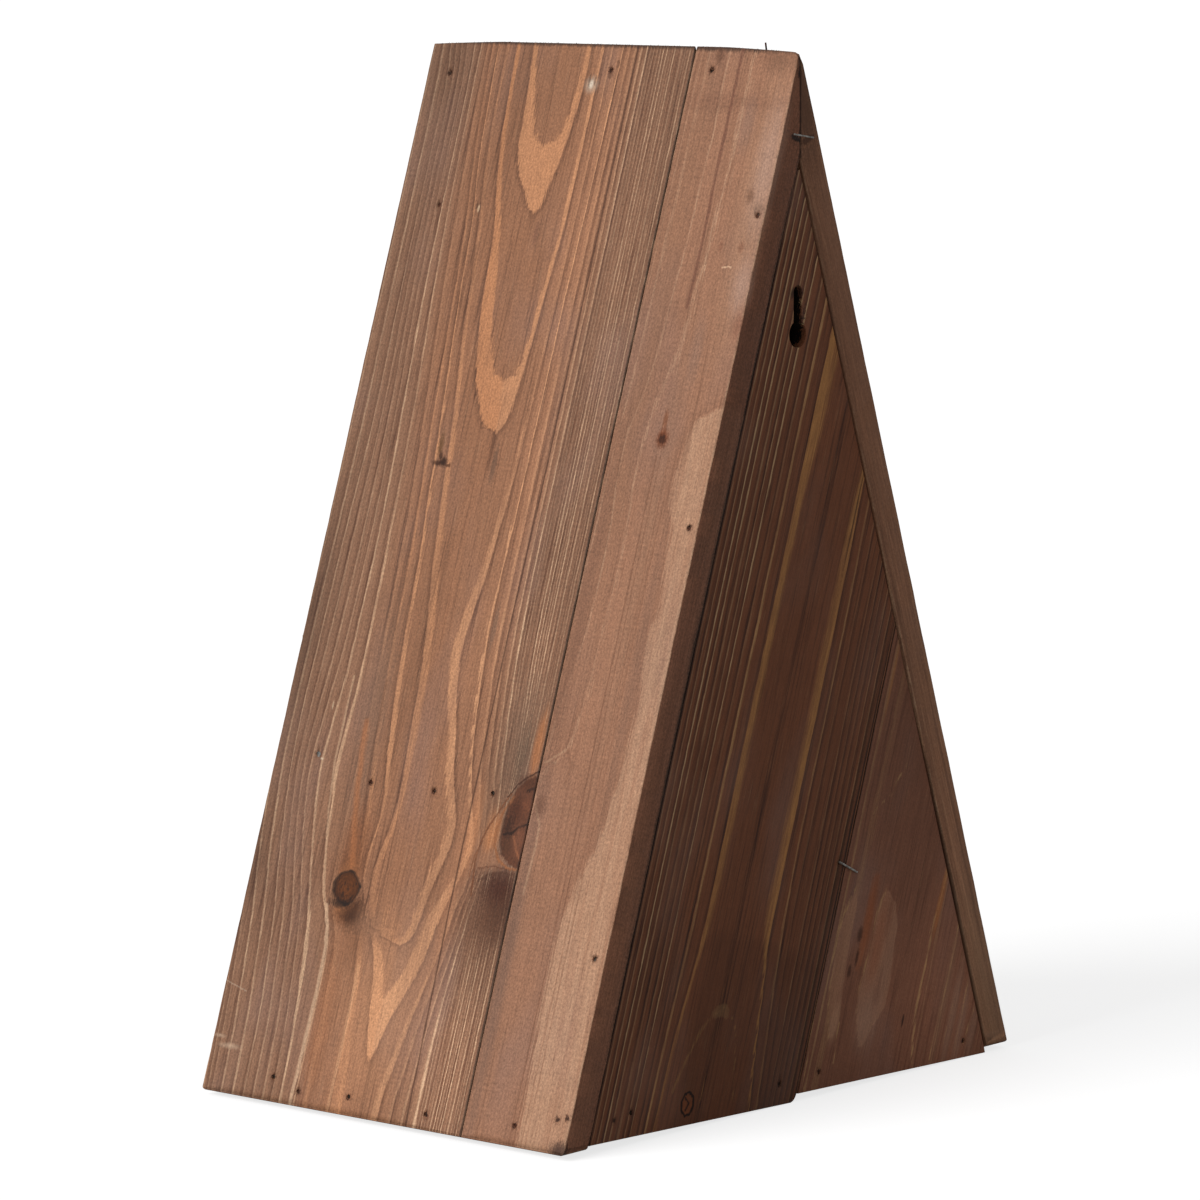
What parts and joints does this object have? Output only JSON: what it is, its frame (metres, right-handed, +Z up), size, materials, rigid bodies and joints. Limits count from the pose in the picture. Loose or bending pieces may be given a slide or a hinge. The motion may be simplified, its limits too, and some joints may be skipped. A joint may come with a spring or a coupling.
{
  "type": "triangular birdhouse",
  "caption": "Triangular wooden birdhouse with mitred ridge, keyhole hanger, nest chamber behind a tilting front door with a round entrance, and an open feeding tray below.",
  "frame": {"origin": "on the ground, under the middle of the two side panels' footprint, on the floor's underside", "axes": "+Z up along the height, +Y towards the back with the keyhole hanger, +X to the right seen from the front"},
  "size_m": [0.2734, 0.1985, 0.4036],
  "materials": {
    "side_wide_wood": "stained open-grained softwood, satin",
    "side_narrow_wood": "stained sawn softwood, matt",
    "back_wood": "dark stained softwood, matt",
    "inner_wood": "stained softwood, matt",
    "door_wood": "stained open-grained softwood, satin",
    "perch_wood": "bare turned dowel, matt",
    "button_wood": "stained hardwood, satin",
    "brad_steel": "dull dark steel",
    "bright_steel": "zinc plated, worn"
  },
  "bodies": {
    "house": {"right_side_wide_board": "side_wide_wood", "right_side_narrow_board": "side_narrow_wood", "left_side_wide_board": "side_wide_wood", "left_side_narrow_board": "side_narrow_wood", "back_main_board": "back_wood", "back_corner_board": "back_wood", "floor_front_board": "inner_wood", "floor_rear_board": "inner_wood", "nest_shelf_front_board": "inner_wood", "nest_shelf_rear_board": "inner_wood", "tray_rail": "door_wood", "gable_block": "door_wood", "door_stop": "inner_wood", "button_screw": "bright_steel", "door_pivot_nails": "bright_steel", "ridge_brads": "brad_steel", "back_edge_brads": "brad_steel", "shelf_brads": "brad_steel", "floor_brads": "brad_steel", "back_foot_brads": "brad_steel", "rail_brads": "brad_steel", "gable_brads": "brad_steel", "stop_brads": "brad_steel", "seam_staples": "bright_steel"},
    "door": {"door_main_board": "door_wood", "door_corner_board": "door_wood", "perch": "perch_wood"},
    "button": {"turn_button": "button_wood"}
  },
  "joints": [
    {"name": "door_tilt", "type": "hinge", "parent": "house", "child": "door", "pos_m": [0, -0.07, 0.1295], "axis": [1, 0, 0], "range_deg": [0, 90]},
    {"name": "button_turn", "type": "hinge", "parent": "house", "child": "button", "pos_m": [0, -0.0793, 0.31105], "axis": [0, 1, 0], "continuous": true}
  ]
}
